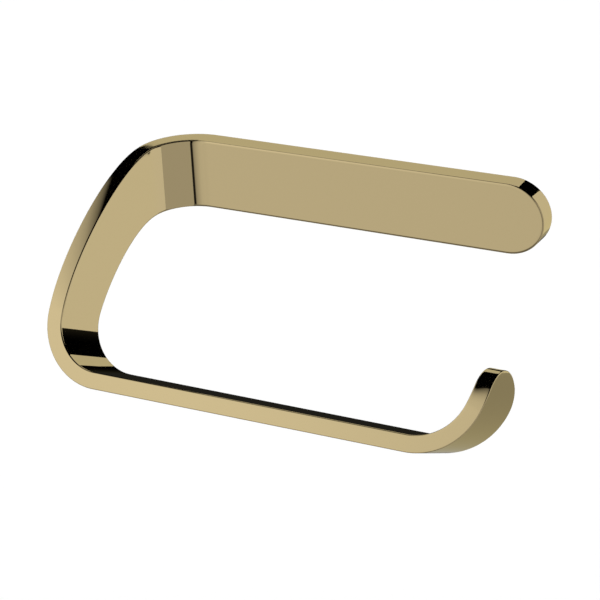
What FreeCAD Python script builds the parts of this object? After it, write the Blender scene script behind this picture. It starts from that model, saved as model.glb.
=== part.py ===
import FreeCAD, Part
import math
import os

import Sketcher

# Wall-mounted toilet paper holder: a polished brass band on a concealed wall rail.
# Frame: origin on the wall plane, at the middle of the two wall screws. +X right, -Y out of the wall, +Z up.
# The band's faces run: wall plate -> upper fold -> side arm -> lower fold -> roll bar -> hook.

SIZES = {
    # wall plate
    "plate_length": 130.8,        # flat stretch of the plate, from the upper fold to the tip of its round end
    "plate_height": 25.7,
    "plate_thick": 7.6,
    "plate_end_reach": 13.8,      # half axis of the round end along X; the other half axis is half the height
    # band
    "band_thick": 5.8,
    "band_width": 24.9,           # width of the lower fold, the bar and the hook
    "upper_fold_radius": 15.0,    # inner radius
    "lower_fold_radius": 16.6,    # inner radius
    "bar_reach": 93.9,            # wall plane to the bar's front upper edge
    "bar_drop": 40.35,             # plate's middle down to the bar's front upper edge
    "bar_tilt": 26.2,             # degrees that the bar's top face falls towards the wall
    # handles of the curves that shape the side arm, measured along their tangents
    "arm_front_start": 21.6,
    "arm_front_end": 19.3,
    "arm_back_start": 19.2,
    "arm_back_end": 6.0,
    # hook
    "hook_start": 53.55,           # X where the bar starts to curl up
    "hook_radius": 19.6,          # inner radius of the quarter turn
    "hook_straight": 5.6,         # straight stretch above the quarter turn
    # concealed wall rail
    "rail_length": 106.0,
    "rail_thick": 4.5,
    "rail_below": 5.5,            # origin down to the lower edge
    "rail_above": 4.5,            # origin up to the foot of the bevel
    "rail_land": 1.0,             # flat at the wall side of the bevel
    "rail_bevel": 2.5,            # height and depth of the bevel
    # recess in the plate's back, which hangs on the rail
    "recess_length": 108.0,
    "recess_depth": 5.5,
    "recess_below": 9.0,
    "recess_above": 4.7,
    "recess_land": 1.1,
    "recess_bevel": 2.5,
    # wall screws and plugs
    "fixing_spacing": 80.0,
    "screw_radius": 1.7,
    "screw_hole_radius": 2.0,
    "screw_head_radius": 3.4,
    "screw_head_height": 1.9,
    "screw_sink": 0.2,
    "screw_embed": 24.5,          # depth of the screw's tip in the wall
    "screw_tip": 3.0,
    "driver_slot_width": 0.9,
    "driver_slot_length": 3.6,
    "driver_slot_depth": 1.4,
    "plug_radius": 2.5,
    "plug_length": 20.0,
    "plug_slit_width": 0.8,
    "plug_slit_length": 13.0,
    "plug_bore_radius": 1.72,
    # set screws in the plate's lower edge
    "set_spacing": 60.0,
    "set_radius": 1.95,
    "set_hole_radius": 2.0,
    "set_length": 6.0,
    "set_depth_y": 2.6,           # axis distance from the wall plane
    "set_socket_flats": 2.0,
    "set_socket_depth": 2.5,
    "set_chamfer": 0.4,
    # rubber pads between the rail and the plate
    "pad_spacing": 30.0,
    "pad_radius": 4.0,
    "pad_thick": 1.3,
    "pad_seat": 0.4,
}

SIDES = {"left": -1, "right": 1}

X_AXIS = FreeCAD.Vector(1, 0, 0)
Y_AXIS = FreeCAD.Vector(0, 1, 0)
Z_AXIS = FreeCAD.Vector(0, 0, 1)
CUT_OVERRUN = 1.0                 # how far a cutting tool runs past the face that it opens

doc = FreeCAD.newDocument("ToiletPaperHolder")


def make_sheet():
    """Spreadsheet that holds every driving dimension, in mm, or degrees for the tilt."""
    cells = doc.addObject("Spreadsheet::Sheet", "sizes")
    for row, (alias, value) in enumerate(SIZES.items(), start=1):
        cells.set(f"A{row}", alias)
        cells.set(f"B{row}", str(value))
        cells.setAlias(f"B{row}", alias)
    doc.recompute()
    return cells


sheet = make_sheet()


def size(alias):
    return float(sheet.get(alias))


def bind(target, **expressions):
    """Tie properties of a document object to cells of the sheet."""
    for name, expression in expressions.items():
        target.setExpression(name.replace("__", "."), expression)
    return target


def profile(name, edges):
    """Closed planar profile kept as a document object."""
    feature = doc.addObject("Part::Feature", name)
    feature.Shape = Part.Face(Part.Wire(Part.__sortEdges__(edges)))
    return feature


def extrusion(name, base, direction, length):
    solid = doc.addObject("Part::Extrusion", name)
    solid.Base = base
    solid.DirMode = "Custom"
    solid.Dir = direction
    solid.Solid = True
    return bind(solid, LengthFwd=length)


def cylinder(name, radius, height, place, axis):
    """Part::Cylinder whose base centre is at place, with its height along axis."""
    solid = doc.addObject("Part::Cylinder", name)
    solid.Placement = FreeCAD.Placement(place, FreeCAD.Rotation(Z_AXIS, axis))
    return bind(solid, Radius=radius, Height=height)


def cone(name, radius_start, radius_end, height, place, axis):
    solid = doc.addObject("Part::Cone", name)
    solid.Placement = FreeCAD.Placement(place, FreeCAD.Rotation(Z_AXIS, axis))
    return bind(solid, Radius1=radius_start, Radius2=radius_end, Height=height)


def fuse(name, shapes):
    joined = doc.addObject("Part::MultiFuse", name)
    joined.Shapes = shapes
    joined.Refine = True
    return joined


def cut(name, base, tool):
    result = doc.addObject("Part::Cut", name)
    result.Base = base
    result.Tool = tool
    result.Refine = True
    return result


def arc(start, middle, end):
    return Part.Arc(start, middle, end).toShape()


def line(start, end):
    return Part.LineSegment(start, end).toShape()


def bezier(poles):
    curve = Part.BezierCurve()
    curve.setPoles(poles)
    return curve.toShape()


# --- places that several pieces share -------------------------------------------------------------

PLATE_LEFT = -size("plate_length") / 2
ARM_INNER_X = PLATE_LEFT - size("upper_fold_radius")
TILT = math.radians(size("bar_tilt"))
# across the band, from its front edge to its back edge, and square to the bar's top face
ACROSS = FreeCAD.Vector(0, math.cos(TILT), -math.sin(TILT))
UPWARD = FreeCAD.Vector(0, math.sin(TILT), math.cos(TILT))
BAR_EDGE = FreeCAD.Vector(0, -size("bar_reach"), -size("bar_drop"))


def make_plate():
    """Flat wall plate with a half-round right end."""
    half = size("plate_height") / 2
    right = -PLATE_LEFT
    end_x = right - size("plate_end_reach")
    end_centre = FreeCAD.Vector(end_x, 0, 0)
    ellipse = Part.Ellipse(FreeCAD.Vector(right, 0, 0), FreeCAD.Vector(end_x, 0, half), end_centre)
    quarter = math.pi / 2
    edges = [
        line(FreeCAD.Vector(PLATE_LEFT, 0, half), FreeCAD.Vector(end_x, 0, half)),
        Part.ArcOfEllipse(ellipse, -quarter, quarter).toShape(),
        line(FreeCAD.Vector(end_x, 0, -half), FreeCAD.Vector(PLATE_LEFT, 0, -half)),
        line(FreeCAD.Vector(PLATE_LEFT, 0, -half), FreeCAD.Vector(PLATE_LEFT, 0, half)),
    ]
    return extrusion("plate", profile("plate_outline", edges), -Y_AXIS, "sizes.plate_thick")


def turn_point(centre, radius, angle):
    """Point of a turn in the XY plane, angle in degrees from +X."""
    turn = math.radians(angle)
    return centre + FreeCAD.Vector(radius * math.cos(turn), radius * math.sin(turn), 0)


def make_upper_fold():
    """Quarter turn about a vertical axis, from the plate's thickness to the band's."""
    bottom = -size("plate_height") / 2
    inner = size("upper_fold_radius")
    outer = inner + size("band_thick")
    inner_centre = FreeCAD.Vector(PLATE_LEFT, -(size("plate_thick") + inner), bottom)
    outer_centre = FreeCAD.Vector(PLATE_LEFT, -outer, bottom)
    inner_ends = [turn_point(inner_centre, inner, angle) for angle in (90, 135, 180)]
    outer_ends = [turn_point(outer_centre, outer, angle) for angle in (90, 135, 180)]
    arm_corner = FreeCAD.Vector(outer_ends[2].x, inner_ends[2].y, bottom)
    edges = [
        arc(*inner_ends),
        arc(*outer_ends),
        line(inner_ends[0], outer_ends[0]),
        line(outer_ends[2], arm_corner),
        line(arm_corner, inner_ends[2]),
    ]
    return extrusion("upper_fold", profile("upper_fold_plan", edges), Z_AXIS, "sizes.plate_height")


def make_side_arm():
    """Arm in one upright plane, sweeping from level at the plate to the bar's tilt."""
    half = size("plate_height") / 2
    start_y = -(size("plate_thick") + size("upper_fold_radius"))
    front_start = FreeCAD.Vector(ARM_INNER_X, start_y, half)
    back_start = FreeCAD.Vector(ARM_INNER_X, start_y, -half)
    front_end = X_AXIS * ARM_INNER_X + BAR_EDGE + UPWARD * size("lower_fold_radius")
    back_end = front_end + ACROSS * size("band_width")
    edges = [
        bezier([
            front_start,
            front_start - Y_AXIS * size("arm_front_start"),
            front_end + UPWARD * size("arm_front_end"),
            front_end,
        ]),
        line(front_end, back_end),
        bezier([
            back_start,
            back_start - Y_AXIS * size("arm_back_start"),
            back_end + UPWARD * size("arm_back_end"),
            back_end,
        ]),
        line(front_start, back_start),
    ]
    return extrusion("side_arm", profile("side_arm_outline", edges), -X_AXIS, "sizes.band_thick")


def bar_point(along, above):
    """Point of the band's front edge plane: X along the bar, and height square to the bar's top face."""
    return BAR_EDGE + X_AXIS * along + UPWARD * above


def make_bar():
    """Lower fold and straight roll bar."""
    radius = size("lower_fold_radius")
    thick = size("band_thick")
    bar_start = ARM_INNER_X + radius
    bar_end = size("hook_start")
    edges = []
    for turn_radius in (radius, radius + thick):
        side = turn_radius * math.sqrt(0.5)
        edges.append(arc(
            bar_point(bar_start - turn_radius, radius),
            bar_point(bar_start - side, radius - side),
            bar_point(bar_start, radius - turn_radius),
        ))
    edges += [
        line(bar_point(bar_start - radius, radius), bar_point(bar_start - radius - thick, radius)),
        line(bar_point(bar_start, 0), bar_point(bar_end, 0)),
        line(bar_point(bar_start, -thick), bar_point(bar_end, -thick)),
        line(bar_point(bar_end, 0), bar_point(bar_end, -thick)),
    ]
    return extrusion("roll_bar", profile("roll_bar_outline", edges), ACROSS, "sizes.band_width")


def make_hook():
    """Quarter-turn hook whose tip is a half round across the band's width."""
    radius = size("hook_radius")
    thick = size("band_thick")
    start = size("hook_start")
    top = radius + size("hook_straight")
    edges = []
    for turn_radius in (radius, radius + thick):
        side = turn_radius * math.sqrt(0.5)
        edges.append(arc(
            bar_point(start, radius - turn_radius),
            bar_point(start + side, radius - side),
            bar_point(start + turn_radius, radius),
        ))
        edges.append(line(bar_point(start + turn_radius, radius), bar_point(start + turn_radius, top)))
    edges += [
        line(bar_point(start, 0), bar_point(start, -thick)),
        line(bar_point(start + radius, top), bar_point(start + radius + thick, top)),
    ]
    curl = extrusion("hook_curl", profile("hook_outline", edges), ACROSS, "sizes.band_width")

    half_width = size("band_width") / 2
    shoulder = top - half_width
    low = -(thick + CUT_OVERRUN)
    front_low = bar_point(start, low)
    front_shoulder = bar_point(start, shoulder)
    back_low = front_low + ACROSS * size("band_width")
    back_shoulder = front_shoulder + ACROSS * size("band_width")
    tip_top = bar_point(start, top) + ACROSS * half_width
    tip_edges = [
        line(front_low, front_shoulder),
        arc(front_shoulder, tip_top, back_shoulder),
        line(back_shoulder, back_low),
        line(back_low, front_low),
    ]
    rounding = extrusion(
        "hook_tip_round", profile("hook_tip_outline", tip_edges), X_AXIS,
        "sizes.hook_radius + sizes.band_thick")
    hook = doc.addObject("Part::MultiCommon", "hook")
    hook.Shapes = [curl, rounding]
    return hook


def dovetail_bar(name, length, below, above, land, bevel, thick):
    """PartDesign body: a bar along X with a bevelled upper edge, used by the rail and by its recess."""
    body = doc.addObject("PartDesign::Body", name)
    plane = next(item for item in body.Origin.OriginFeatures if item.Role == "YZ_Plane")
    sketch = body.newObject("Sketcher::SketchObject", name + "_section")
    sketch.AttachmentSupport = [(plane, "")]
    sketch.MapMode = "FlatFace"
    low = size(below)
    high = size(above)
    flat = size(land)
    slope = size(bevel)
    depth = size(thick)
    corners = [
        (0, -low),
        (0, high),
        (-flat, high),
        (-flat - slope, high + slope),
        (-depth, high + slope),
        (-depth, -low),
    ]
    count = len(corners)
    for index, corner in enumerate(corners):
        after = corners[(index + 1) % count]
        sketch.addGeometry(Part.LineSegment(FreeCAD.Vector(*corner, 0), FreeCAD.Vector(*after, 0)), False)
    for index in range(count):
        sketch.addConstraint(Sketcher.Constraint("Coincident", index, 2, (index + 1) % count, 1))
    for index in (0, 4):
        sketch.addConstraint(Sketcher.Constraint("Vertical", index))
    for index in (1, 3, 5):
        sketch.addConstraint(Sketcher.Constraint("Horizontal", index))
    sketch.addConstraint(Sketcher.Constraint("PointOnObject", 0, 1, -2))
    lengths = [
        ("below", below, Sketcher.Constraint("DistanceY", 0, 1, -1, 1, low)),
        ("above", above, Sketcher.Constraint("DistanceY", -1, 1, 0, 2, high)),
        ("land", land, Sketcher.Constraint("DistanceX", 1, 2, 1, 1, flat)),
        ("bevel_up", bevel, Sketcher.Constraint("DistanceY", 2, 1, 2, 2, slope)),
        ("bevel_out", bevel, Sketcher.Constraint("DistanceX", 2, 2, 2, 1, slope)),
        ("depth", thick, Sketcher.Constraint("DistanceX", 4, 1, 0, 1, depth)),
    ]
    for label, alias, constraint in lengths:
        place = sketch.addConstraint(constraint)
        sketch.renameConstraint(place, label)
        sketch.setExpression("Constraints." + label, "sizes." + alias)
    pad = body.newObject("PartDesign::Pad", name + "_pad")
    pad.Profile = sketch
    pad.SideType = "Symmetric"
    bind(pad, Length="sizes." + length)
    doc.recompute()
    return body


def make_holder_band():
    """The visible band in one piece, hollow-backed at the plate, with two set screw holes."""
    blank = fuse("band_blank", [make_plate(), make_upper_fold(), make_side_arm(), make_bar(), make_hook()])
    recess = dovetail_bar(
        "recess", "recess_length", "recess_below", "recess_above", "recess_land", "recess_bevel",
        "recess_depth")
    hollowed = cut("hollowed_band", blank, recess)
    low = -(size("plate_height") / 2 + CUT_OVERRUN)
    holes = []
    for side, sign in SIDES.items():
        place = FreeCAD.Vector(sign * size("set_spacing") / 2, -size("set_depth_y"), low)
        depth = f"sizes.plate_height / 2 - sizes.recess_below + {2 * CUT_OVERRUN}"
        holes.append(cylinder("set_hole_" + side, "sizes.set_hole_radius", depth, place, Z_AXIS))
    return cut("holder_band", hollowed, fuse("set_holes", holes))


def make_wall_rail():
    """Zinc rail with countersunk screw holes and seats for the pads."""
    bar = dovetail_bar(
        "rail_bar", "rail_length", "rail_below", "rail_above", "rail_land", "rail_bevel", "rail_thick")
    tools = []
    front = -size("rail_thick")
    for side, sign in SIDES.items():
        screw_x = sign * size("fixing_spacing") / 2
        hole_start = FreeCAD.Vector(screw_x, CUT_OVERRUN, 0)
        tools.append(cylinder(
            "rail_hole_" + side, "sizes.screw_hole_radius", f"sizes.rail_thick + {2 * CUT_OVERRUN}",
            hole_start, -Y_AXIS))
        sink_depth = "sizes.screw_head_height + sizes.screw_sink"
        tools.append(cone(
            "rail_sink_" + side, "sizes.screw_head_radius + 0.3", "sizes.screw_hole_radius",
            sink_depth, FreeCAD.Vector(screw_x, front, 0), Y_AXIS))
        seat_start = FreeCAD.Vector(sign * size("pad_spacing") / 2, front + size("pad_seat"), 0)
        tools.append(cylinder(
            "rail_seat_" + side, "sizes.pad_radius", f"sizes.pad_seat + {CUT_OVERRUN}",
            seat_start, -Y_AXIS))
    return cut("wall_rail", bar, fuse("rail_tools", tools))


def box(name, centre, length, width, height):
    """Part::Box centred on a point."""
    solid = doc.addObject("Part::Box", name)
    bind(solid, Length=length, Width=width, Height=height)
    doc.recompute()
    corner = FreeCAD.Vector(solid.Length.Value, solid.Width.Value, solid.Height.Value) / 2
    solid.Placement.Base = centre - corner
    return solid


def make_wall_screw(side, sign):
    """Countersunk screw through the rail, with a cross recess."""
    screw_x = sign * size("fixing_spacing") / 2
    head_y = -size("rail_thick") + size("screw_sink")
    neck_y = head_y + size("screw_head_height")
    tip_start = size("screw_embed") - size("screw_tip")
    shank_length = "sizes.screw_embed - sizes.screw_tip + sizes.rail_thick" \
        " - sizes.screw_sink - sizes.screw_head_height"
    name = "wall_screw_" + side
    solid = fuse(name + "_blank", [
        cone(name + "_head", "sizes.screw_head_radius", "sizes.screw_radius", "sizes.screw_head_height",
             FreeCAD.Vector(screw_x, head_y, 0), Y_AXIS),
        cylinder(name + "_shank", "sizes.screw_radius", shank_length,
                 FreeCAD.Vector(screw_x, neck_y, 0), Y_AXIS),
        cone(name + "_tip", "sizes.screw_radius", "0.2 mm", "sizes.screw_tip",
             FreeCAD.Vector(screw_x, tip_start, 0), Y_AXIS),
    ])
    slot_centre = FreeCAD.Vector(screw_x, head_y, 0)
    slot_depth = "2 * sizes.driver_slot_depth"
    slots = fuse(name + "_recess", [
        box(name + "_slot_level", slot_centre, "sizes.driver_slot_length", slot_depth,
            "sizes.driver_slot_width"),
        box(name + "_slot_upright", slot_centre, "sizes.driver_slot_width", slot_depth,
            "sizes.driver_slot_length"),
    ])
    return cut(name, solid, slots)


def make_wall_plug(side, sign):
    """Nylon plug set in the wall, bored for the screw and slit so that it spreads."""
    plug_x = sign * size("fixing_spacing") / 2
    name = "wall_plug_" + side
    start = FreeCAD.Vector(plug_x, 0, 0)
    body = cylinder(name + "_body", "sizes.plug_radius", "sizes.plug_length", start, Y_AXIS)
    bore = cylinder(name + "_bore", "sizes.plug_bore_radius",
                    f"sizes.screw_embed + {2 * CUT_OVERRUN}",
                    start - Y_AXIS * CUT_OVERRUN, Y_AXIS)
    slit_centre = FreeCAD.Vector(plug_x, size("plug_length") - size("plug_slit_length") / 2 + CUT_OVERRUN, 0)
    slit = box(name + "_slit", slit_centre, "2 * sizes.plug_radius + 2",
               f"sizes.plug_slit_length + {2 * CUT_OVERRUN}", "sizes.plug_slit_width")
    return cut(name, body, fuse(name + "_openings", [bore, slit]))


def make_set_screw(side, sign):
    """Socket set screw that bears on the rail's lower edge."""
    set_x = sign * size("set_spacing") / 2
    name = "set_screw_" + side
    low = -size("rail_below") - size("set_length")
    start = FreeCAD.Vector(set_x, -size("set_depth_y"), low)
    body = cylinder(name + "_body", "sizes.set_radius", "sizes.set_length - sizes.set_chamfer", start, Z_AXIS)
    nose_start = start + Z_AXIS * (size("set_length") - size("set_chamfer"))
    nose = cone(name + "_nose", "sizes.set_radius", "sizes.set_radius - sizes.set_chamfer",
                "sizes.set_chamfer", nose_start, Z_AXIS)
    socket = doc.addObject("Part::Prism", name + "_socket")
    socket.Polygon = 6
    socket.Placement.Base = start - Z_AXIS * CUT_OVERRUN
    bind(socket, Circumradius="sizes.set_socket_flats / 2 / cos(30)",
         Height=f"sizes.set_socket_depth + {CUT_OVERRUN}")
    return cut(name, fuse(name + "_blank", [body, nose]), socket)


def make_rail_pad(side, sign):
    """Rubber pad seated in the rail's front face."""
    place = FreeCAD.Vector(sign * size("pad_spacing") / 2, -size("rail_thick") + size("pad_seat"), 0)
    return cylinder("rail_pad_" + side, "sizes.pad_radius", "sizes.pad_thick", place, -Y_AXIS)


def make_pieces():
    pieces = [make_holder_band(), make_wall_rail()]
    for side, sign in SIDES.items():
        pieces += [
            make_wall_screw(side, sign),
            make_wall_plug(side, sign),
            make_set_screw(side, sign),
            make_rail_pad(side, sign),
        ]
    for piece in pieces:
        piece.Label = piece.Name
    doc.recompute()
    return pieces


def check(pieces):
    """Stop on any failed feature, or any piece that isn't one valid solid."""
    for item in doc.Objects:
        if "Invalid" in item.State or "Error" in item.State:
            raise RuntimeError(f"{item.Name} failed: {item.State}")
    for piece in pieces:
        if piece.Shape.isNull() or not piece.Shape.isValid():
            raise RuntimeError(f"{piece.Label} has no valid shape")
        if len(piece.Shape.Solids) != 1:
            raise RuntimeError(f"{piece.Label} has {len(piece.Shape.Solids)} solids")


def export(pieces):
    os.makedirs("parts", exist_ok=True)
    for piece in pieces:
        piece.Shape.exportStep(f"parts/{piece.Label}.step")
        bounds = piece.Shape.BoundBox
        print(f"{piece.Label}: {piece.Shape.Volume:.1f} mm3, "
              f"{bounds.XLength:.1f} x {bounds.YLength:.1f} x {bounds.ZLength:.1f} mm")


pieces = make_pieces()
check(pieces)
export(pieces)
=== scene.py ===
import math

import bmesh
import bpy
import numpy as np
from mathutils import Matrix, Vector


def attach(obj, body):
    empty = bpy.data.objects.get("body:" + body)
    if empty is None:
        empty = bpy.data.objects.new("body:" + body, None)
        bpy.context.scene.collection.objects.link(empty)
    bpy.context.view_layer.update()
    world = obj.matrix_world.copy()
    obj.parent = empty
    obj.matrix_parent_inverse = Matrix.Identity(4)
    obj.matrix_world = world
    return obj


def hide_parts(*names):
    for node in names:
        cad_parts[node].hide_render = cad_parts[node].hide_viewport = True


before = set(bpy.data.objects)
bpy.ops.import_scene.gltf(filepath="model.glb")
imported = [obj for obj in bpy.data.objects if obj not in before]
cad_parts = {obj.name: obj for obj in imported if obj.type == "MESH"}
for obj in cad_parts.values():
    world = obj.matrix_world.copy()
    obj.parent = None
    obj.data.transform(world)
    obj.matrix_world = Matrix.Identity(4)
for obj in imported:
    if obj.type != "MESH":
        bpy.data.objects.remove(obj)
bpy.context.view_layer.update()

MM = 0.001

# ------------------------------------------------------------------ sizes of the band, in mm
PLATE_LENGTH = 130.8
PLATE_HEIGHT = 25.7
PLATE_THICK = 7.6
PLATE_END_REACH = 13.8
BAND_THICK = 5.8
BAND_WIDTH = 24.9
UPPER_FOLD_RADIUS = 15.0
LOWER_FOLD_RADIUS = 16.6
BAR_REACH = 93.9
BAR_DROP = 40.35
BAR_TILT = math.radians(26.2)
ARM_FRONT_HANDLES = (21.6, 19.3)
ARM_BACK_HANDLES = (19.2, 6.0)
HOOK_START = 53.55
HOOK_RADIUS = 19.6
HOOK_STRAIGHT = 5.6

RECESS_X = 54.0
RECESS_SECTION = ((0.5, -9.0), (0.5, 4.7), (-1.1, 4.7), (-3.6, 7.2), (-5.5, 7.2), (-5.5, -9.0))
SET_SCREW_X = 30.0
SET_SCREW_Y = -2.6
SET_HOLE_RADIUS = 2.0
SET_HOLE_Z = (-14.0, -8.0)        # from below the plate's lower edge up into the recess

# how far each edge is eased: along the face, and through the thickness
INNER_EASE = (1.3, 0.45)
OUTER_EASE = (0.4, 0.4)
SLIM_EASE = 0.45                  # share of it, along the inner face, that is left past the upper fold
ARM_CROWN = 0.07                  # how far the arm's rim is set back at its faces, against its middle
CROWN_FADE = 6.0                  # distance over which the crown starts and ends

# mesh steps, and the angle below which an edge is shaded smooth
EDGE_STEPS = 8
RIM_STEPS = 6
TIP_STEPS = 36
STATION_COUNTS = (10, 48, 64, 48, 12, 40)
HOLE_STEPS = 48
SHARP_ANGLE = math.radians(28.0)

PLATE_LEFT = -PLATE_LENGTH / 2
ARM_X = PLATE_LEFT - UPPER_FOLD_RADIUS
ACROSS = np.array([0.0, math.cos(BAR_TILT), -math.sin(BAR_TILT)])
UPWARD = np.array([0.0, math.sin(BAR_TILT), math.cos(BAR_TILT)])
ALONG = np.array([1.0, 0.0, 0.0])
BAR_EDGE = np.array([0.0, -BAR_REACH, -BAR_DROP])
QUARTER = math.pi / 2

# lengths of the band's stretches, measured on its inner face from the plate's tip; the arm's is nominal
UPPER_FOLD_LENGTH = UPPER_FOLD_RADIUS * QUARTER
ARM_LENGTH = 78.0
LOWER_FOLD_LENGTH = LOWER_FOLD_RADIUS * QUARTER
BAR_LENGTH = HOOK_START - (ARM_X + LOWER_FOLD_RADIUS)
HOOK_CURL_LENGTH = HOOK_RADIUS * QUARTER
HOOK_LENGTH = HOOK_CURL_LENGTH + HOOK_STRAIGHT
STRETCHES = (PLATE_LENGTH, UPPER_FOLD_LENGTH, ARM_LENGTH, LOWER_FOLD_LENGTH, BAR_LENGTH, HOOK_LENGTH)


# ------------------------------------------------------------------ shape of the band

def bezier(poles, t):
    """Point at t, from 0 to 1, of a cubic curve."""
    a, b, c, d = (np.array(pole) for pole in poles)
    u = 1 - t
    return a * u ** 3 + b * 3 * u * u * t + c * 3 * u * t * t + d * t ** 3


def plate_corner(s, edge):
    """Inner face and outward thickness vector of the plate; edge is 0 at the top and 1 below."""
    z = PLATE_HEIGHT * (0.5 - edge)
    return np.array([PLATE_LENGTH / 2 - s, -PLATE_THICK, z]), np.array([0.0, PLATE_THICK, 0.0])


def upper_fold_corner(s, edge):
    turn = s / UPPER_FOLD_RADIUS
    inner = UPPER_FOLD_RADIUS
    outer = inner + BAND_THICK
    z = PLATE_HEIGHT * (0.5 - edge)
    spoke = np.array([-math.sin(turn), math.cos(turn), 0.0])
    face = np.array([PLATE_LEFT, -(PLATE_THICK + inner), z]) + inner * spoke
    back = np.array([PLATE_LEFT, -outer, z]) + outer * spoke
    return face, back - face


def arm_corner(s, edge):
    t = s / ARM_LENGTH
    start_y = -(PLATE_THICK + UPPER_FOLD_RADIUS)
    end = ALONG * ARM_X + BAR_EDGE + UPWARD * LOWER_FOLD_RADIUS
    ends = []
    for handles, z, finish in (
        (ARM_FRONT_HANDLES, PLATE_HEIGHT / 2, end),
        (ARM_BACK_HANDLES, -PLATE_HEIGHT / 2, end + ACROSS * BAND_WIDTH),
    ):
        start = np.array([ARM_X, start_y, z])
        poles = (start, start - np.array([0, handles[0], 0]), finish + UPWARD * handles[1], finish)
        ends.append(bezier(poles, t))
    face = ends[0] + (ends[1] - ends[0]) * edge
    return face, np.array([-BAND_THICK, 0.0, 0.0])


def lower_fold_corner(s, edge):
    turn = s / LOWER_FOLD_RADIUS
    spoke = -math.cos(turn) * ALONG - math.sin(turn) * UPWARD
    centre = BAR_EDGE + ALONG * (ARM_X + LOWER_FOLD_RADIUS) + UPWARD * LOWER_FOLD_RADIUS
    return centre + spoke * LOWER_FOLD_RADIUS + ACROSS * BAND_WIDTH * edge, spoke * BAND_THICK


def bar_corner(s, edge):
    face = BAR_EDGE + ALONG * (ARM_X + LOWER_FOLD_RADIUS + s) + ACROSS * BAND_WIDTH * edge
    return face, -UPWARD * BAND_THICK


def hook_corner(s, edge):
    turn = min(s / HOOK_RADIUS, QUARTER)
    straight = max(s - HOOK_CURL_LENGTH, 0.0)
    spoke = math.sin(turn) * ALONG - math.cos(turn) * UPWARD
    centre = BAR_EDGE + ALONG * HOOK_START + UPWARD * (HOOK_RADIUS + straight)
    return centre + spoke * HOOK_RADIUS + ACROSS * BAND_WIDTH * edge, spoke * BAND_THICK


CORNERS = (plate_corner, upper_fold_corner, arm_corner, lower_fold_corner, bar_corner, hook_corner)


def band_point(s, edge, across, offset):
    """Point at distance s: across is 0 on the inner face and 1 on the outer, plus offset mm outward."""
    stretch = 0
    while stretch < len(STRETCHES) - 1 and s > STRETCHES[stretch]:
        s -= STRETCHES[stretch]
        stretch += 1
    face, through = CORNERS[stretch](s, edge)
    return face + through * (across + offset / np.linalg.norm(through))


def spread(start, end, count):
    return [start + (end - start) * i / count for i in range(count)]


def straight_stations():
    """Distances along the band between its two round ends."""
    stations = []
    reached = 0.0
    last = sum(STRETCHES) - BAND_WIDTH / 2
    for length, count in zip(STRETCHES, STATION_COUNTS):
        start = max(reached, PLATE_END_REACH)
        end = min(reached + length, last)
        stations += spread(start, end, count)
        reached += length
    return stations[1:]


STRAIGHT = straight_stations()


def crown(s, through):
    """How far polishing has rounded the arm's edge, away from the middle of its thickness."""
    start = PLATE_LENGTH + UPPER_FOLD_LENGTH
    fade_in = min(max((s - start) / CROWN_FADE, 0.0), 1.0)
    fade_out = min(max((start + ARM_LENGTH - s) / CROWN_FADE, 0.0), 1.0)
    return ARM_CROWN * fade_in * fade_out * (2 * through - 1) ** 2


def eased(inset, s, through):
    """The inner edges of the arm, bar and hook are eased less than the plate's."""
    if through > 0.5:
        return inset
    fade = min(max((s - PLATE_LENGTH) / UPPER_FOLD_LENGTH, 0.0), 1.0)
    return inset * (1 + (SLIM_EASE - 1) * fade)


def half_outline(inset, through):
    """From the plate's tip to the hook's tip along the front edge: (distance, share of the width)."""
    points = []
    for i in range(TIP_STEPS + 1):
        turn = QUARTER * i / TIP_STEPS
        reach = (PLATE_END_REACH - inset) * math.cos(turn)
        rise = (PLATE_HEIGHT / 2 - inset) * math.sin(turn)
        points.append((PLATE_END_REACH - reach, 0.5 - rise / PLATE_HEIGHT))
    points += [(s, (eased(inset, s, through) + crown(s, through)) / PLATE_HEIGHT) for s in STRAIGHT]
    shoulder = sum(STRETCHES) - BAND_WIDTH / 2
    radius = BAND_WIDTH / 2 - eased(inset, shoulder, through)
    for i in range(TIP_STEPS + 1):
        turn = QUARTER * i / TIP_STEPS
        points.append((shoulder + radius * math.sin(turn), 0.5 - radius * math.cos(turn) / BAND_WIDTH))
    return points


def rim_profile():
    """(inset, across, offset) round the band's rim, from its inner face to its outer face."""
    turns = [QUARTER * i / EDGE_STEPS for i in range(EDGE_STEPS + 1)]
    corners = []
    for across, sense, (reach, depth) in ((0, 1, INNER_EASE), (1, -1, OUTER_EASE)):
        corners.append([
            (reach * (1 - math.sin(turn)), across, sense * depth * (1 - math.cos(turn))) for turn in turns
        ])
    middle = []
    for i in range(1, RIM_STEPS):
        across = i / RIM_STEPS
        middle.append((0.0, across, INNER_EASE[1] * (1 - across) - OUTER_EASE[1] * across))
    return corners[0] + middle + corners[1][::-1]


def mesh_object(name, points, faces):
    """A new object in the scene, from points in mm."""
    mesh = bpy.data.meshes.new(name)
    mesh.from_pydata([Vector(point) * MM for point in points], [], faces)
    mesh.validate()
    built = bpy.data.objects.new(name, mesh)
    bpy.context.scene.collection.objects.link(built)
    return built


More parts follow.
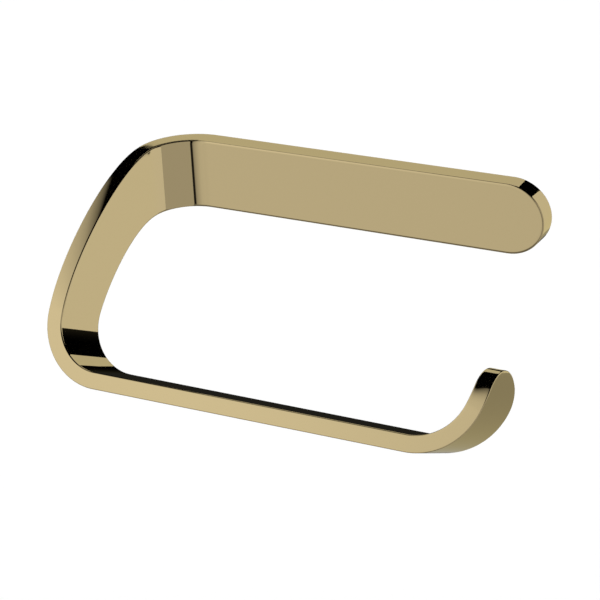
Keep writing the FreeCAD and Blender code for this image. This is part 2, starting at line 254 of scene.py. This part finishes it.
def solid_band():
    """The band as one closed mesh, before the recess and the holes are cut."""
    rims = []
    for inset, across, offset in rim_profile():
        half = half_outline(inset, across + offset / BAND_THICK)
        front = [band_point(s, edge, across, offset) for s, edge in half]
        back = [band_point(s, 1 - edge, across, offset) for s, edge in half[1:-1]]
        rims.append(front + back[::-1])
    count = len(rims[0])
    half_count = len(half_outline(0.0, 0.5))
    points = [point for rim in rims for point in rim]
    faces = []
    for layer in range(len(rims) - 1):
        low = layer * count
        high = low + count
        for i in range(count):
            after = (i + 1) % count
            faces.append((low + i, low + after, high + after, high + i))
    for first, flip in ((0, True), ((len(rims) - 1) * count, False)):
        for i in range(half_count - 1):
            mirror = (count - i) % count
            mirror_after = count - i - 1
            ring = [first + i, first + i + 1, first + mirror_after, first + mirror]
            ring = list(dict.fromkeys(ring))
            faces.append(tuple(ring[::-1] if flip else ring))
    return mesh_object("band_solid", points, faces)


def prism_along_x(name, section, low, high):
    """Closed prism between two X places, from a section of (y, z) points."""
    count = len(section)
    points = [(x, y, z) for x in (low, high) for y, z in section]
    faces = [(i, (i + 1) % count, count + (i + 1) % count, count + i) for i in range(count)]
    faces.append(tuple(range(count))[::-1])
    faces.append(tuple(range(count, 2 * count)))
    return mesh_object(name, points, faces)


def drill(name, x):
    """Upright cutter for a set screw's hole in the plate's lower edge."""
    steps = HOLE_STEPS
    turns = [2 * math.pi * i / steps for i in range(steps)]
    ring = [
        (x + SET_HOLE_RADIUS * math.cos(turn), SET_SCREW_Y + SET_HOLE_RADIUS * math.sin(turn))
        for turn in turns
    ]
    points = [(px, py, z) for z in SET_HOLE_Z for px, py in ring]
    faces = [(i, (i + 1) % steps, steps + (i + 1) % steps, steps + i) for i in range(steps)]
    faces.append(tuple(range(steps))[::-1])
    faces.append(tuple(range(steps, 2 * steps)))
    return mesh_object(name, points, faces)


def outward(piece):
    edit = bmesh.new()
    edit.from_mesh(piece.data)
    bmesh.ops.recalc_face_normals(edit, faces=edit.faces)
    edit.to_mesh(piece.data)
    edit.free()


def baked(piece, name):
    """A new object whose mesh is the piece with its modifiers applied."""
    graph = bpy.context.evaluated_depsgraph_get()
    mesh = bpy.data.meshes.new_from_object(piece.evaluated_get(graph), depsgraph=graph)
    result = bpy.data.objects.new(name, mesh)
    bpy.context.scene.collection.objects.link(result)
    return result


def remove(*objects):
    for item in objects:
        bpy.data.objects.remove(item)


def shade_by_angle(piece):
    """Smooth shading that breaks at real edges, with flat faces kept flat."""
    edit = bmesh.new()
    edit.from_mesh(piece.data)
    for face in edit.faces:
        face.smooth = True
    for edge in edit.edges:
        edge.smooth = len(edge.link_faces) == 2 and edge.calc_face_angle() < SHARP_ANGLE
    edit.to_mesh(piece.data)
    edit.free()
    normals = piece.modifiers.new("face_weighted_normals", "WEIGHTED_NORMAL")
    normals.keep_sharp = True
    normals.weight = 100


def make_band():
    """The finished band, with the recess and the set screw holes cut and its edges shaded."""
    solid = solid_band()
    cutters = [
        prism_along_x("recess_cutter", RECESS_SECTION, -RECESS_X, RECESS_X),
        drill("left_hole_cutter", -SET_SCREW_X),
        drill("right_hole_cutter", SET_SCREW_X),
    ]
    for piece in [solid, *cutters]:
        outward(piece)
    for cutter in cutters:
        cut = solid.modifiers.new(cutter.name, "BOOLEAN")
        cut.operation = "DIFFERENCE"
        cut.solver = "EXACT"
        cut.object = cutter
    band = baked(solid, "polished_band")
    remove(solid, *cutters)
    shade_by_angle(band)
    return band


# ------------------------------------------------------------------ materials

NOISE_MIDDLE = (0.3, 0.7)
METAL_SPREAD = (0.75, 1.3)        # lowest and highest roughness, as shares of the stated one
MOULDED_SPREAD = 0.08             # roughness either side of the stated one


def new_material(name):
    material = bpy.data.materials.new(name)
    material.use_nodes = True
    tree = material.node_tree
    shader = next(node for node in tree.nodes if node.type == "BSDF_PRINCIPLED")
    return material, tree, shader


def link(tree, source, socket, target, name):
    tree.links.new(source.outputs[socket], target.inputs[name])


def noise(tree, scale, detail, stretch=(1, 1, 1)):
    """Noise in object space, in features per metre."""
    place = tree.nodes.new("ShaderNodeTexCoord")
    mapping = tree.nodes.new("ShaderNodeMapping")
    mapping.inputs["Scale"].default_value = stretch
    texture = tree.nodes.new("ShaderNodeTexNoise")
    texture.inputs["Scale"].default_value = scale
    texture.inputs["Detail"].default_value = detail
    link(tree, place, "Object", mapping, "Vector")
    link(tree, mapping, "Vector", texture, "Vector")
    return texture


def ranged(tree, source, socket, low, high):
    """Map the middle of a noise's range to low..high."""
    span = tree.nodes.new("ShaderNodeMapRange")
    span.inputs["From Min"].default_value = NOISE_MIDDLE[0]
    span.inputs["From Max"].default_value = NOISE_MIDDLE[1]
    span.inputs["To Min"].default_value = low
    span.inputs["To Max"].default_value = high
    link(tree, source, socket, span, "Value")
    return span


def uneven_roughness(tree, texture, shader, low, high):
    link(tree, ranged(tree, texture, "Fac", low, high), "Result", shader, "Roughness")


def relief(tree, texture, shader, strength, height):
    """Bumps that follow a texture, with their height in metres."""
    bump = tree.nodes.new("ShaderNodeBump")
    bump.inputs["Strength"].default_value = strength
    bump.inputs["Distance"].default_value = height
    link(tree, texture, "Fac", bump, "Height")
    link(tree, bump, "Normal", shader, "Normal")


def polished_brass():
    material, tree, shader = new_material("polished_brass")
    shader.inputs["Metallic"].default_value = 1.0
    shader.inputs["Base Color"].default_value = (0.87, 0.70, 0.38, 1)
    shader.inputs["Specular Tint"].default_value = (1.0, 0.95, 0.68, 1)
    wear = noise(tree, 260.0, 6.0, (1.0, 1.0, 6.0))
    uneven_roughness(tree, wear, shader, 0.02, 0.045)
    waviness = noise(tree, 45.0, 2.0)
    relief(tree, waviness, shader, 0.02, 0.0002)
    return material


def plain_metal(name, colour, roughness, grain, stretch=(1, 1, 1)):
    material, tree, shader = new_material(name)
    shader.inputs["Metallic"].default_value = 1.0
    shader.inputs["Base Color"].default_value = (*colour, 1)
    texture = noise(tree, grain, 8.0, stretch)
    uneven_roughness(tree, texture, shader, roughness * METAL_SPREAD[0], roughness * METAL_SPREAD[1])
    relief(tree, texture, shader, 0.25, 0.00005)
    return material


def moulded(name, colour, roughness, grain):
    material, tree, shader = new_material(name)
    shader.inputs["Base Color"].default_value = (*colour, 1)
    texture = noise(tree, grain, 6.0)
    uneven_roughness(tree, texture, shader, roughness - MOULDED_SPREAD, roughness + MOULDED_SPREAD)
    relief(tree, texture, shader, 0.3, 0.00004)
    return material


def paint(piece, material):
    piece.data.materials.clear()
    piece.data.materials.append(material)


def paint_hardware():
    zinc = plain_metal("cast_zinc", (0.60, 0.60, 0.58), 0.42, 900.0)
    plated = plain_metal("zinc_plated_steel", (0.74, 0.74, 0.72), 0.25, 1500.0)
    stainless = plain_metal("stainless_steel", (0.56, 0.56, 0.56), 0.22, 1200.0, (1, 1, 8))
    nylon = moulded("grey_nylon", (0.38, 0.39, 0.40), 0.48, 1400.0)
    rubber = moulded("black_rubber", (0.02, 0.02, 0.02), 0.7, 2500.0)
    finishes = {
        "wall_rail": zinc,
        "wall_screw": plated,
        "wall_plug": nylon,
        "set_screw": stainless,
        "rail_pad": rubber,
    }
    for node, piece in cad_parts.items():
        for start, material in finishes.items():
            if node.startswith(start):
                paint(piece, material)
                piece.visible_glossy = False


# ------------------------------------------------------------------ stage, light and camera

# Glossy rays see a studio that is given by direction: x to the right, y to the wall and z up.
# All other rays see an even white surround.
SURROUND = 1.02
# the softbox: weights that say how far a direction points into it, and (how far, brightness) stops
SOFTBOX_AIM = (-0.823, -0.402, -0.402)
SOFTBOX_STOPS = (
    (0.0, 0.0), (0.03, 0.14), (0.07, 0.26), (0.11, 0.37), (0.16, 0.45),
    (0.22, 0.51), (0.32, 0.55), (0.6, 0.565), (0.75, 0.52), (0.9, 0.55),
)
SOFTBOX_EDGE = 13.0               # azimuth of its upright edge, in degrees
SOFTBOX_EDGE_STOPS = ((0.0, 0.0), (0.02, 0.5), (0.1, 0.67), (0.27, 0.88), (0.45, 1.0))
SOFTBOX_BACK = (0.4, 0.3)         # y at which it starts, and is full
SOFTBOX_FOOT = (-0.75, -0.55)     # z at which it starts, and is full
# extra glow at the softbox's left, and where it starts and is full: leftward, upward and into the softbox
GLOW = 0.15
GLOW_LEFTWARD = (0.29, 0.5)
GLOW_UPWARD = (-0.25, 0.3)
GLOW_INWARD = (0.15, 0.6)
# the grey board at the right: two azimuths in degrees, its top and its brightness
BOARD_START = 18.5
BOARD_END = 103.0
BOARD_BLUR = 0.01
BOARD_TOP = (0.5, 0.45)
BOARD_BRIGHTNESS = 0.37
# the ground: its brightness falls from left to right, and near the viewer only a share of it is left
GROUND_TILT = (-0.2, 0.0, 1.0)
GROUND_EDGE = (-0.44, -0.49)
GROUND_BRIGHTNESS = 0.325
GROUND_FALL = (-0.17, 0.0, 0.0)
NEAR_GROUND = 0.4
NEAR_TO_FAR = (0.0, 0.4)
# a faint haze below the horizon
HAZE = 0.013
HAZE_EDGE = (0.0, -0.3)
# lit boards behind the piece: brightness, and outline in mm on the plane y = CARD_Y
CARD_Y = 250.0
REFLECTOR_CARDS = {
    "left_card": (0.50, (
        (-318, 400), (-190, 400), (-95, 159), (36, 178), (-95, -45), (-90, -52), (-45, -52),
        (-45, -225), (-86, -225), (-98, -45), (-175, -45), (-275, 131), (-228, 131),
    )),
    "right_card": (0.59, (
        (158, 140), (122, -110), (80, -110), (80, -225), (175, -222), (205, -192), (300, -215),
        (1100, -500), (1100, 140),
    )),
}

# the floor and the camera, in metres, except that the lens, the sensor and the target are in mm
FLOOR_HALF_SIZE = 6.0
FLOOR_DROP = 0.35

CAMERA_AZIMUTH = math.radians(29.2)
CAMERA_ELEVATION = math.radians(24.3)
CAMERA_ROLL = math.radians(-3.1)
CAMERA_LENS = 139.5
CAMERA_SENSOR = 36.0
CAMERA_CLIP_START = 0.01
CAMERA_DISTANCE = 0.800
CAMERA_TARGET = Vector((-9.31, -45.59, -24.47)) * MM


def make_camera():
    """Camera that looks at the target from its azimuth and elevation, rolled about its own axis."""
    data = bpy.data.cameras.new("photo_camera")
    data.lens = CAMERA_LENS
    data.sensor_width = CAMERA_SENSOR
    data.clip_start = CAMERA_CLIP_START
    camera = bpy.data.objects.new("photo_camera", data)
    bpy.context.scene.collection.objects.link(camera)
    right = Vector((math.cos(CAMERA_AZIMUTH), math.sin(CAMERA_AZIMUTH), 0))
    back = Vector((
        math.sin(CAMERA_AZIMUTH) * math.cos(CAMERA_ELEVATION),
        -math.cos(CAMERA_AZIMUTH) * math.cos(CAMERA_ELEVATION),
        math.sin(CAMERA_ELEVATION),
    ))
    up = back.cross(right)
    rolled_right = right * math.cos(CAMERA_ROLL) + up * math.sin(CAMERA_ROLL)
    rolled_up = up * math.cos(CAMERA_ROLL) - right * math.sin(CAMERA_ROLL)
    turn = Matrix((rolled_right, rolled_up, back)).transposed()
    camera.matrix_world = Matrix.Translation(CAMERA_TARGET + back * CAMERA_DISTANCE) @ turn.to_4x4()
    bpy.context.scene.camera = camera


def make_floor():
    """Plain pale floor well below the piece."""
    half = FLOOR_HALF_SIZE
    mesh = bpy.data.meshes.new("floor")
    corners = [(x, y, -FLOOR_DROP) for x, y in ((-half, -half), (half, -half), (half, half), (-half, half))]
    mesh.from_pydata(corners, [], [(0, 1, 2, 3)])
    floor = bpy.data.objects.new("floor", mesh)
    bpy.context.scene.collection.objects.link(floor)
    material, tree, shader = new_material("pale_floor")
    shader.inputs["Base Color"].default_value = (0.99, 0.99, 0.99, 1)
    shader.inputs["Roughness"].default_value = 0.9
    shader.inputs["Specular IOR Level"].default_value = 0.0
    paint(floor, material)
    floor.visible_glossy = False


def maths(tree, operation, *values):
    """A maths node's output; each value is a number or another node's output."""
    node = tree.nodes.new("ShaderNodeMath")
    node.operation = operation
    for socket, value in zip(node.inputs, values):
        if isinstance(value, (int, float)):
            socket.default_value = value
        else:
            tree.links.new(value, socket)
    return node.outputs["Value"]


def weighted(tree, axes, weights, offset=0.0):
    """Sum of the direction's components times their weights."""
    total = offset
    for axis, weight in zip(axes, weights):
        total = maths(tree, "MULTIPLY_ADD", axis, weight, total)
    return total


def curve(tree, value, stops):
    """Straight-line steps through (value, brightness) stops, over values from 0 to 1."""
    ramp = tree.nodes.new("ShaderNodeValToRGB")
    elements = ramp.color_ramp.elements
    while len(elements) > 1:
        elements.remove(elements[-1])
    for i, (place, brightness) in enumerate(stops):
        element = elements[0] if i == 0 else elements.new(place)
        element.position = place
        element.color = (brightness, brightness, brightness, 1)
    tree.links.new(value, ramp.inputs["Fac"])
    return ramp.outputs["Color"]


def step(tree, value, limits):
    """0 up to the first limit, 1 from the second, and smooth between; the first may be the larger."""
    node = tree.nodes.new("ShaderNodeMapRange")
    node.interpolation_type = "SMOOTHSTEP"
    for name, limit in zip(("From Min", "From Max"), limits):
        node.inputs[name].default_value = limit
    tree.links.new(value, node.inputs["Value"])
    return node.outputs["Result"]


def beside(azimuth):
    """Weights whose sum is positive to the right of an upright plane at this azimuth, in degrees."""
    turn = math.radians(azimuth)
    return (math.cos(turn), math.sin(turn), 0.0)


def softbox_brightness(tree, axes):
    """A softbox at the front left, brighter at its left, with an upright edge."""
    inward = weighted(tree, axes, SOFTBOX_AIM)
    softbox = curve(tree, inward, SOFTBOX_STOPS)
    leftward = weighted(tree, axes, (-1, 0, 0))
    upward_and_inward = maths(
        tree, "MULTIPLY", step(tree, axes[2], GLOW_UPWARD), step(tree, inward, GLOW_INWARD))
    glow = maths(tree, "MULTIPLY", step(tree, leftward, GLOW_LEFTWARD), upward_and_inward)
    softbox = maths(tree, "MULTIPLY_ADD", glow, GLOW, softbox)
    left_of_edge = weighted(tree, axes, tuple(-weight for weight in beside(SOFTBOX_EDGE)))
    softbox = maths(tree, "MULTIPLY", softbox, curve(tree, left_of_edge, SOFTBOX_EDGE_STOPS))
    softbox = maths(tree, "MULTIPLY", softbox, step(tree, axes[1], SOFTBOX_BACK))
    return maths(tree, "MULTIPLY", softbox, step(tree, axes[2], SOFTBOX_FOOT))


def board_brightness(tree, axes):
    """A grey board at the right, between two azimuths."""
    board = maths(
        tree, "MULTIPLY",
        step(tree, weighted(tree, axes, beside(BOARD_START)), (0.0, BOARD_BLUR)),
        step(tree, weighted(tree, axes, beside(BOARD_END)), (0.0, -BOARD_BLUR)),
    )
    board = maths(tree, "MULTIPLY", board, step(tree, axes[2], BOARD_TOP))
    return maths(tree, "MULTIPLY", board, BOARD_BRIGHTNESS)


def ground_brightness(tree, axes):
    ground = step(tree, weighted(tree, axes, GROUND_TILT), GROUND_EDGE)
    ground = maths(tree, "MULTIPLY", ground, weighted(tree, axes, GROUND_FALL, GROUND_BRIGHTNESS))
    far = step(tree, axes[1], NEAR_TO_FAR)
    return maths(tree, "MULTIPLY", ground, maths(tree, "MULTIPLY_ADD", far, 1 - NEAR_GROUND, NEAR_GROUND))


def studio_brightness(tree):
    """What glossy rays see: the brightest of a softbox, a grey board, the ground and the haze."""
    place = tree.nodes.new("ShaderNodeTexCoord")
    split = tree.nodes.new("ShaderNodeSeparateXYZ")
    tree.links.new(place.outputs["Generated"], split.inputs["Vector"])
    axes = [split.outputs[axis] for axis in ("X", "Y", "Z")]
    brightest = maths(tree, "MULTIPLY", step(tree, axes[2], HAZE_EDGE), HAZE)
    for part in (softbox_brightness, board_brightness, ground_brightness):
        brightest = maths(tree, "MAXIMUM", part(tree, axes), brightest)
    return brightest


def make_world():
    """Even white surround, except that glossy rays see the studio."""
    world = bpy.data.worlds.new("studio")
    bpy.context.scene.world = world
    world.use_nodes = True
    tree = world.node_tree
    background = next(node for node in tree.nodes if node.type == "BACKGROUND")
    path = tree.nodes.new("ShaderNodeLightPath")
    seen = studio_brightness(tree)
    mix = tree.nodes.new("ShaderNodeMix")
    mix.data_type = "FLOAT"
    tree.links.new(path.outputs["Is Glossy Ray"], mix.inputs["Factor"])
    mix.inputs["A"].default_value = SURROUND
    tree.links.new(seen, mix.inputs["B"])
    background.inputs["Color"].default_value = (1, 1, 1, 1)
    tree.links.new(mix.outputs["Result"], background.inputs["Strength"])


def make_reflector_cards():
    """Lit boards behind the piece, seen only in reflections."""
    for name, (brightness, outline) in REFLECTOR_CARDS.items():
        card = mesh_object(name, [(x, CARD_Y, z) for x, z in outline], [tuple(range(len(outline)))])
        material = bpy.data.materials.new(name)
        material.use_nodes = True
        tree = material.node_tree
        tree.nodes.clear()
        emission = tree.nodes.new("ShaderNodeEmission")
        emission.inputs["Strength"].default_value = brightness
        output = tree.nodes.new("ShaderNodeOutputMaterial")
        tree.links.new(emission.outputs["Emission"], output.inputs["Surface"])
        paint(card, material)
        card.visible_camera = False
        card.visible_diffuse = False
        card.visible_shadow = False


make_camera()
make_world()
make_floor()
make_reflector_cards()
band = make_band()
band.visible_glossy = False
paint(band, polished_brass())
paint_hardware()
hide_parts("holder_band")
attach(band, "holder")

bpy.context.scene.view_settings.view_transform = "Standard"
